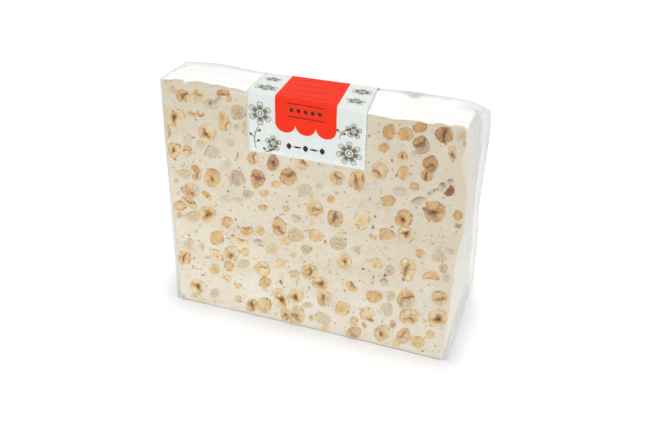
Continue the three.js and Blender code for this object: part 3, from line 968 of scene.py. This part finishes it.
def nougat_body(front, back, holes, rng):
    """The block, with crumbled edges, a broken corner, air holes, and hollows for the nuts."""
    block = nougat_block()
    points = settled_block(block)
    pit_shade = sawn_relief(block, points, FRONT, front, holes, rng)
    pit_shade = pit_shade + sawn_relief(block, points, BACK, back, [], rng)
    wall = (1 - block.cut) * smooth(np.abs(block.x), block.high[0] - 1.5, block.high[0])
    points[:, 0] += wall * np.sign(block.x) * WALL_RELIEF * noise(points, 18, 5)
    lid = (1 - block.cut) * smooth(block.z, block.high[2] - 1.5, block.high[2])
    points[:, 2] += lid * LID_RELIEF * noise(points, 22, 6)
    points[:, 2] -= block.brink * smooth(noise(points, 7, 10), -0.2, 0.8)
    points[:, 0] -= BROKEN_DEPTH * smooth(block.from_break, 10, 2)
    return points, block.faces, {"pit_shade": pit_shade} | skin_masks(block, points)


def crumb_mesh(place, side, rng):
    """One flake of brown skin or crumb of nut, lying on a sawn face."""
    size = rng.gamma(2.0, 0.22) + 0.3
    angle = np.arange(CRUMB_SIDES) * 2 * math.pi / CRUMB_SIDES
    reach = size * rng.uniform(0.5, 1.2, CRUMB_SIDES)
    rim = turned(reach * np.cos(angle), CRUMB_SLIM * reach * np.sin(angle), -rng.uniform(0, math.pi))
    flat = np.concatenate([[place], np.stack(rim, axis=1) + place, [place]])
    out = np.array([0.35] + CRUMB_SIDES * [0.12] + [-0.8])
    points = face_points(side, flat, out + crumbled(face_points(side, flat, 0 * out)))
    ring = ring_pairs(CRUMB_SIDES, 1)
    faces = [(0, a, b) for a, b in ring] + [(len(points) - 1, b, a) for a, b in ring]
    fill = np.ones(len(points))
    masks = {
        "tone": rng.choice([0.3, 0.5, 0.65, 0.8], p=[0.25, 0.35, 0.25, 0.15]) * fill,
        "dark": rng.choice([0.0, 0.3, 0.6], p=[0.86, 0.1, 0.04]) * fill,
        "veil": 0 * fill, "crackle": 0 * fill,
    }
    return points, faces, masks | {"fibre_" + axis: rng.uniform(0, 90) * fill for axis in "xyz"}


def crumbs(rng):
    """Flakes and crumbs strewn over both sawn faces."""
    parts = []
    for side, top in ((FRONT, HEIGHT - 4), (BACK, HEIGHT - TOP_DROP - 12)):
        for _ in range(CRUMB_COUNT):
            place = np.array([rng.uniform(-WIDTH / 2 + 5, WIDTH / 2 - 5), rng.uniform(3, top)])
            parts.append(crumb_mesh(place, side, rng))
    return joined(parts)


# The film.
def film_box():
    """The film's upright box, with rounded edges. Its grid is closer by the edges, the seam and the ear."""
    low = np.array([-WIDTH / 2, -DEPTH / 2, 0.0])
    high = np.array([WIDTH / 2, DEPTH / 2, HEIGHT])
    lines = [edge_lines(a, b, cell, FILM_RADIUS) for a, b, cell in zip(low, high, FILM_CELLS)]
    seam = SEAM_WIDTH / 2 * np.array([-1.0, -SEAM_EDGE, SEAM_EDGE, 1.0])
    lines[2] = np.union1d(lines[2], SEAM_HEIGHT + seam)
    lines[0] = np.union1d(lines[0], WIDTH / 2 - np.arange(3.0, 10.0, 0.8))
    box, faces = box_shell(*lines)
    radius = FOOT_RADIUS + (FILM_RADIUS - FOOT_RADIUS) * smooth(box[:, 2], 4, 20)
    radius += FOOT_CORNER * smooth(np.linalg.norm(box - (high[0], low[1], 0), axis=1), 14, 3)
    return round_edges(box, low, high, radius), faces


def loose_film(x, up, back):
    """How far the film's ear and pleats move a point of either end along X, as in the frame's solids."""
    end = np.sign(x) * smooth(np.abs(x), WIDTH / 2 - 3 * FILM_RADIUS, WIDTH / 2)
    ear = EAR * smooth(up, EAR_FROM, 1) * smooth(back, 0, 1)
    pleat = PLEAT * np.sin(PLEATS * 2 * math.pi * back + 2 * up) * np.sin(math.pi * back)
    return np.maximum(end, 0) * ear + end * pleat * np.sin(math.pi * up)


def doubled_film(x, up, back):
    """Where the film lies double on the top: a band along its back, and a tongue."""
    tongue = TONGUE_HALF * (back - TONGUE_FROM) / (1 - TONGUE_FROM) - np.abs(x - TONGUE_X)
    tongue = smooth(tongue, -1.5, 1.5) * smooth(back, TONGUE_FROM, TONGUE_FROM + 0.05)
    band = smooth(back, 0.85, 0.93) * smooth(x, WIDTH / 2 - 6, WIDTH / 2 - 20)
    return np.maximum(0.55 * band, tongue) * smooth(up, 0.9, 1.0)


def film_shell():
    """The film: the slab's outer form, with folds down its ends, a drooping ear, creases and a lap seam."""
    box, faces = film_box()
    x, up, back = box[:, 0], box[:, 2] / HEIGHT, box[:, 1] / DEPTH + 0.5
    points = settle(box)
    points[:, 0] += loose_film(x, up, back)
    end = smooth(np.abs(x), WIDTH / 2 - 1.2, WIDTH / 2 - 0.1)
    fold = noise(points * (1.0, 1.0, 0.14), 13, 21) * smooth(up, 0.0, 0.06) * smooth(up, 1.0, 0.94)
    points[:, 0] += np.sign(x) * end * FOLD_RELIEF * fold
    beside_label = smooth(np.abs(x - LABEL_X), LABEL_WIDTH / 2, LABEL_WIDTH / 2 + 12)
    brink = smooth(back, 0.72, 1.0)
    crease = (1 - 0.7 * brink) * CREASE_RELIEF * noise(points * (1.0, 0.35, 1.0), 10, 22)
    points[:, 2] += smooth(up, 0.985, 1.0) * beside_label * crease
    stand = hump(x, LEFT_STAND) + hump(x, RIGHT_STAND)
    points[:, 2] += stand * beside_label * brink * smooth(up, 0.95, 1.0)
    towards_back = smooth(back, 0.2, 1.0)
    ear = smooth(x, WIDTH / 2 - EAR_REACH, WIDTH / 2) * towards_back
    points[:, 2] -= EAR_DROOP * smooth(x, WIDTH / 2 - 6, WIDTH / 2) * towards_back * smooth(up, 0.85, 1.0)
    loose = ear * smooth(up, 0.62, 0.92)
    crinkle = noise(points * (1.0, 0.7, 1.0), 8, 24)
    points[:, 0] += CRINKLE_X * loose * (np.abs(crinkle) - 0.4)
    points[:, 1] += CRINKLE_Y * loose * noise(points, 6, 25)
    seam = smooth(np.abs(box[:, 2] - SEAM_HEIGHT), SEAM_WIDTH / 2, SEAM_EDGE * SEAM_WIDTH / 2)
    seam *= smooth(np.abs(x), WIDTH / 2 - SEAM_MARGIN, WIDTH / 2 - SEAM_MARGIN - 1) * smooth(back, 0.97, 1.0)
    points[:, 1] += SEAM_RISE * seam
    double = doubled_film(x, up, back)
    haze = 0.02 + 0.24 * end + 0.3 * ear * smooth(up, 0.3, 0.97) + 0.18 * seam - 0.4 * double
    haze += 0.4 * loose * smooth(np.abs(crinkle), 0.16, 0.0)
    return points, faces, {"haze": haze, "double": double}


# The label. A run is a way along its paper, from the foot of the front flap over the top to the back flap.
LABEL_GAP, PAPER_THICK = 0.4, 0.25
INK_LIFT = 0.06
FOLD = FILM_RADIUS + LABEL_GAP
TOP_RUN = DEPTH - 2 * FILM_RADIUS
FLAP_RUN = LABEL_FLAP - FILM_RADIUS
ARC_RUN = FOLD * math.pi / 2
RUN_ENDS = np.cumsum([FLAP_RUN, ARC_RUN, TOP_RUN, ARC_RUN, FLAP_RUN])
TOP_SQUEEZE = 1.6  # runs on the sloping top are this much longer than the paper there
PANEL_HALF, PANEL_DROP = 20.0, 17.0
PANEL_FOOT = FLAP_RUN + ARC_RUN / 2 - PANEL_DROP  # where the red panel ends on the front, above its scallops
PETAL_LINE, VEIN_LINE, STEM_LINE, BUD_LINE = 0.45, 0.32, 0.6, 0.4  # widths of printed lines
PAPER_COLUMNS, PRINT_COLUMNS, RUN_STEPS, FOLD_STEPS = 40, 9, 60, 12


def on_label(across, run, off):
    """Points this far off the label's paper: across its width from the middle, and along its run."""
    radius = FOLD + off
    first, second = [np.clip((run - start) / ARC_RUN, 0, 1) * math.pi / 2 for start in RUN_ENDS[[0, 2]]]
    top = np.clip(run - RUN_ENDS[1], 0, TOP_RUN)
    y = FILM_RADIUS - DEPTH / 2 + top + radius * (np.sin(second) - np.cos(first))
    flaps = np.minimum(run - RUN_ENDS[0], 0) - np.maximum(run - RUN_ENDS[3], 0)
    z = HEIGHT - FILM_RADIUS + flaps + radius * (np.sin(first) + np.cos(second) - 1)
    return settle(np.stack([LABEL_X + across, y, z], axis=1))


def label_runs(low, high):
    """Runs from low to high, closer together over both folds."""
    folds = [np.linspace(start, start + ARC_RUN, FOLD_STEPS) for start in RUN_ENDS[[0, 2]]]
    return np.unique(np.concatenate([np.linspace(low, high, RUN_STEPS), *folds]).clip(low, high))


def paper_mesh():
    """The label's paper, with both faces and its edges."""
    runs = label_runs(0.0, RUN_ENDS[4])
    wide = PAPER_COLUMNS
    columns = np.linspace(-LABEL_WIDTH / 2, LABEL_WIDTH / 2, wide)
    across, along = np.tile(columns, len(runs)), np.repeat(runs, wide)
    sheets = [on_label(across, along, off) for off in (0.0, -PAPER_THICK)]
    below = len(sheets[0])
    last = below - wide
    faces = grid_faces(len(runs), wide)
    faces += [(below + a, below + d, below + c, below + b) for a, b, c, d in faces]
    left = [(a, a + wide) for a in range(0, last, wide)]
    right = [(b + wide - 1, a + wide - 1) for a, b in left]
    foot = [(m + 1, m) for m in range(wide - 1)]
    head = [(last + m, last + m + 1) for m in range(wide - 1)]
    faces += [(a, b, below + b, below + a) for a, b in left + right + foot + head]
    return np.concatenate(sheets), faces, {}


def strip(middle, half, runs, off):
    """A field of print along these runs. Its half width may change along them."""
    columns = np.linspace(-1, 1, PRINT_COLUMNS)
    across = (np.broadcast_to(middle, len(runs)) + half * columns[:, None]).T.ravel()
    return on_label(across, np.repeat(runs, PRINT_COLUMNS), off), grid_faces(len(runs), PRINT_COLUMNS), {}


def leaf(across, run, long, wide, turn, off=INK_LIFT):
    """A pointed leaf of print, lying at a turn from the label's run."""
    along = np.linspace(-1, 1, 9)
    half = wide / 2 * (1 - along**2)
    outline = np.concatenate([half, -half[::-1], [0]]), np.concatenate([along, along[::-1], [0]]) * long / 2
    x, y = turned(*outline, turn)
    middle = len(x) - 1
    return on_label(across + x, run + y, off), [(middle, a, b) for a, b in ring_pairs(middle)], {}


def ink_line(places, width):
    """A line of print through these places on the label, thinner towards its ends."""
    heading = np.gradient(places, axis=0)
    heading = heading / np.linalg.norm(heading, axis=1, keepdims=True)
    left = np.stack([-heading[:, 1], heading[:, 0]], axis=1)
    half = width / 2 * (0.4 + 0.6 * np.sin(math.pi * np.linspace(0, 1, len(places))))[:, None]
    edges = np.concatenate([places + left * half, places - left * half])
    count = len(places)
    faces = [(n, count + n, count + n + 1, n + 1) for n in range(count - 1)]
    return on_label(edges[:, 0], edges[:, 1], INK_LIFT), faces, {}


def red_panel():
    """A red panel over the fold, with a foot cut into three scallops on the front."""
    parts = [strip(0.0, PANEL_HALF, label_runs(PANEL_FOOT, RUN_ENDS[2]), INK_LIFT)]
    reach = PANEL_HALF / 3
    drop = np.linspace(0, reach, 12)
    for n in (-1, 0, 1):
        parts.append(strip(2 * n * reach, np.sqrt(reach**2 - drop**2), PANEL_FOOT - drop, INK_LIFT))
    return joined(parts)


def blossom(centre, size, petals, stretch=1.0):
    """An open flower in fine lines: petals with veins about a ring of dots."""
    parts = []
    share = np.linspace(-1, 1, 15)
    reach = size * (0.3 + 0.7 * (1 - np.abs(share) ** 2.4) - 0.07 * bump(share, 0.0, 0.2))

    def at(angle, away):
        return centre + np.stack([away * np.sin(angle), stretch * away * np.cos(angle)], axis=-1)

    for n in range(petals):
        angle = 2 * math.pi * n / petals + share * 0.95 * math.pi / petals
        parts.append(ink_line(at(angle, reach), PETAL_LINE))
        for m in range(2, 13):
            vein = np.linspace(0.3 * size, (0.9 if m % 2 else 0.7) * reach[m], 5)
            parts.append(ink_line(at(np.full(5, angle[m]), vein), VEIN_LINE))
    for n in range(8):
        parts.append(leaf(*at(n * math.pi / 4, 0.16 * size), 0.12 * size * stretch, 0.12 * size, 0.0))
    return parts


def stem(start, end, bend):
    """A stem in one curved line from one place on the label to another, with three round buds."""
    share = np.linspace(0, 1, 16)
    start, end = np.array(start), np.array(end)
    side = np.array([end[1] - start[1], start[0] - end[0]]) * bend
    places = np.outer(1 - share, start) + np.outer(share, end) + np.outer(4 * share * (1 - share), side)
    parts = [ink_line(places, STEM_LINE)]
    for n, lean in ((4, 1), (7, -1), (10, 1)):
        tip = places[n] + np.array([lean * 2.6, 1.6])
        parts += [ink_line(np.linspace(places[n], tip, 4), BUD_LINE), leaf(*tip, 2.6, 1.9, lean * 0.9)]
    return parts


def blossoms():
    """Plain flowers on stems at both sides of the front flap, and beside the panel on top."""
    parts = []
    for across, run, size, petals in (
        (-30.0, 27.5, 8.2, 6), (-21.5, 8.0, 5.6, 5), (28.5, 10.0, 8.6, 7), (31.0, 26.5, 5.4, 5),
    ):
        parts += blossom((across, run), size, petals)
    for start, end, bend in (
        ((-33.0, 1.5), (-30.5, 20.0), -0.12), ((-27.5, 1.0), (-23.0, 3.5), 0.15),
        ((22.0, 19.0), (27.5, 27.0), -0.15),
    ):
        parts += stem(start, end, bend)
    for across, run, size, petals in (
        (-29.0, 22.0, 8.0, 6), (-30.0, 60.0, 6.0, 5), (29.0, 26.0, 6.6, 5), (30.0, 62.0, 7.0, 6),
    ):
        parts += blossom((across, RUN_ENDS[1] + run), size, petals, TOP_SQUEEZE)
    return joined(parts)


def rules():
    """Rules and a row of lozenges on the panel, a larger row below it, and bars on top."""
    bars = [(12.0, PANEL_FOOT + up, 0.6) for up in (5.0, 14.0)]
    bars += [(13.0, run, 0.7) for run in np.linspace(RUN_ENDS[1] + 10, RUN_ENDS[2] - 14, 4)]
    parts = [strip(0.0, half, np.array([run, run + wide]), 2 * INK_LIFT) for half, run, wide in bars]
    parts += [leaf(n * 4.6, PANEL_FOOT + 9.8, 3.2, 2.6, 0.0, 2 * INK_LIFT) for n in range(-2, 3)]
    parts += [leaf(n * 11.0, 8.0, 4.6, 3.4, 0.0) for n in range(-1, 2)]
    parts += [leaf(n * 5.5, 8.0, 6.0, 1.3, math.pi / 2) for n in (-1, 1)]
    return joined(parts)


# The studio.
def set_up(name, data, right, up, back, place):
    """A camera or a light at this place in metres, looking away from its back."""
    pose = np.eye(4)
    pose[:3] = np.array([right, up, back, place]).T
    piece = bpy.data.objects.new(name, data)
    piece.matrix_world = Matrix(pose.tolist())
    bpy.context.scene.collection.objects.link(piece)
    return piece


def camera():
    """The camera at the photograph's place, with its angle of view."""
    data = bpy.data.cameras.new("camera")
    data.sensor_fit = "HORIZONTAL"
    data.sensor_width = SENSOR_MM
    data.lens = FOCAL_PIXELS / PHOTO_SIZE[0] * SENSOR_MM
    data.clip_start, data.clip_end = 0.01, 30.0
    right, down, forward = AXES
    bpy.context.scene.camera = set_up("camera", data, right, -down, -forward, EYE * MM)


def floor():
    """A white table, lit from below a little, as a light box is."""
    mesh = bpy.data.meshes.new("floor")
    reach = 4.0
    corners = [(-reach, -reach, 0), (reach, -reach, 0), (reach, reach, 0), (-reach, reach, 0)]
    mesh.from_pydata(corners, [], [(0, 1, 2, 3)])
    net = Nodes("floor")
    net.shade(
        Base_Color=(0.915, 0.925, 0.945), Roughness=0.9, Specular_IOR_Level=0.1,
        Emission_Color=(1.0, 1.0, 1.0), Emission_Strength=0.07)
    mesh.materials.append(net.material)
    piece = bpy.data.objects.new("floor", mesh)
    bpy.context.scene.collection.objects.link(piece)


def area_light(name, place, aim, size, power):
    """A round soft light at a place in metres, aimed at another."""
    data = bpy.data.lights.new(name, "AREA")
    data.shape = "DISK"
    data.size = size
    data.energy = power
    back = np.array(place) - np.array(aim)
    back = back / np.linalg.norm(back)
    side = np.cross((0.0, 0.0, 1.0), back) if abs(back[2]) < 0.99 else np.array([1.0, 0.0, 0.0])
    side = side / np.linalg.norm(side)
    set_up(name, data, side, np.cross(back, side), back, place)


def studio():
    """White surroundings, a soft light overhead, and two weak ones low in front and at the right."""
    world = bpy.data.worlds.new("studio")
    world.use_nodes = True
    sky = world.node_tree.nodes["Background"]
    sky.inputs["Color"].default_value = (1.0, 1.0, 1.0, 1.0)
    sky.inputs["Strength"].default_value = 0.61
    bpy.context.scene.world = world
    bpy.context.scene.view_settings.view_transform = "Standard"
    area_light("key", (0.0, 0.32, 3.0), (0, 0, 0.1), 0.6, 42.0)
    area_light("fill", (-0.12, -0.36, 0.07), (-0.03, 0, 0.04), 0.12, 0.22)
    area_light("side", (0.9, -0.35, 0.10), (0.1, 0, 0.03), 0.25, 2.8)
    floor()


# The pieces.
def slab_piece(name, made, material):
    """A piece of the slab in its film."""
    piece = make_piece(name, made, material)
    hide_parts("wrapped_slab")


def slab_pieces(rng):
    """The nougat with its air holes, cut nuts and crumbs, and the film about them."""
    front = [(kind, *seen_shape(*row)) for kind, rows in KERNELS.items() for row in rows]
    back = scatter_on_back(front, rng)
    holes = front_holes()
    cream = nougat_material()
    slab_piece("nougat", nougat_body(front, back, [hole[:2] for hole in holes], rng), cream)
    slab_piece("air_holes", joined([air_hole_mesh(*hole, FRONT, rng) for hole in holes]), cream)
    for kind in KERNELS:
        parts = [
            kernel_mesh(*nut, side, rng)
            for side, nuts in ((FRONT, front), (BACK, back)) for nut in nuts if nut[0] == kind]
        slab_piece("hazelnuts_" + kind, joined(parts), kernel_material(kind))
    slab_piece("crumbs", crumbs(rng), kernel_material("crumb"))
    slab_piece("film", film_shell(), film_material())


def label_pieces():
    """The label's paper and its print."""
    paper = make_piece("label_paper", paper_mesh(), print_material("paper", (0.755, 0.795, 0.765), 0.55))
    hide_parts("label")
    for name, made, ink in (
        ("label_panel", red_panel(), (0.90, 0.040, 0.015)),
        ("label_blossoms", blossoms(), (0.20, 0.19, 0.12)),
        ("label_rules", rules(), (0.045, 0.04, 0.035)),
    ):
        piece = make_piece(name, made, print_material(name + "_ink", ink, 0.45))


camera()
studio()
slab_pieces(np.random.default_rng(5))
label_pieces()
